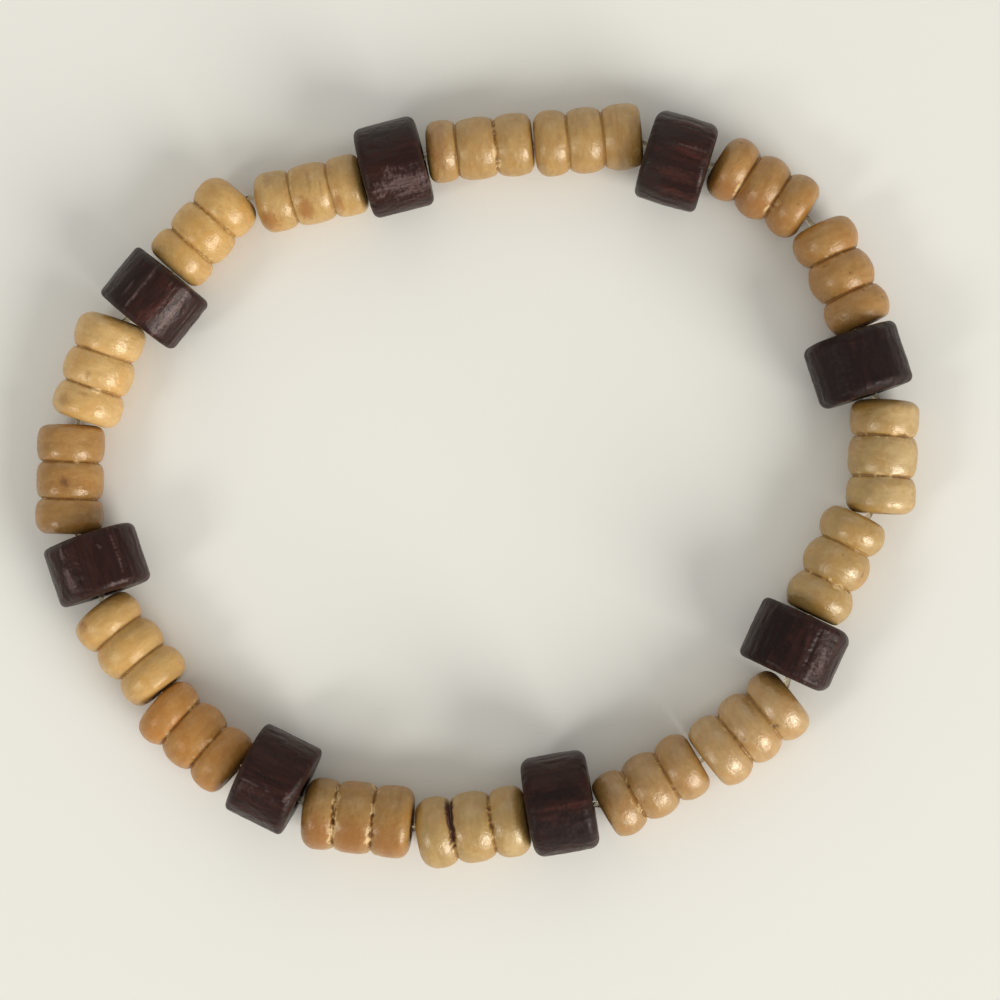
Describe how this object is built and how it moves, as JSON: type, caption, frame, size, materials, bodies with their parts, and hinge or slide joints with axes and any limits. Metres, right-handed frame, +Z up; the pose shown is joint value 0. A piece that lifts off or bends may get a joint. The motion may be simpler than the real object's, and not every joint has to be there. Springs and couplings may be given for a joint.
{
  "type": "bracelet",
  "caption": "Stretch bracelet of drilled wooden beads, plain dark ones set between ribbed light ones, strung on an elastic cord and lying in a loose closed oval.",
  "frame": {"origin": "middle of the lying loop's outline, on the surface that the beads rest on", "axes": "+X along the longer way across the oval, +Y along the shorter way, +Z up out of the surface, along the way a hand goes in"},
  "size_m": [0.075, 0.0648, 0.0083],
  "materials": {
    "dark_wood": "polished very dark reddish brown wood",
    "light_wood": "satin varnished honey-coloured wood, each bead its own tone",
    "elastic": "clear elastic, faintly beige"
  },
  "bodies": {
    "root": {"dark_bead_1": "dark_wood", "dark_bead_2": "dark_wood", "dark_bead_3": "dark_wood", "dark_bead_4": "dark_wood", "dark_bead_5": "dark_wood", "dark_bead_6": "dark_wood", "dark_bead_7": "dark_wood", "dark_bead_8": "dark_wood", "ribbed_bead_1": "light_wood", "ribbed_bead_2": "light_wood", "ribbed_bead_3": "light_wood", "ribbed_bead_4": "light_wood", "ribbed_bead_5": "light_wood", "ribbed_bead_6": "light_wood", "ribbed_bead_7": "light_wood", "ribbed_bead_8": "light_wood", "ribbed_bead_9": "light_wood", "ribbed_bead_10": "light_wood", "ribbed_bead_11": "light_wood", "ribbed_bead_12": "light_wood", "ribbed_bead_13": "light_wood", "ribbed_bead_14": "light_wood", "ribbed_bead_15": "light_wood", "ribbed_bead_16": "light_wood", "elastic_cord": "elastic"}
  },
  "joints": []
}
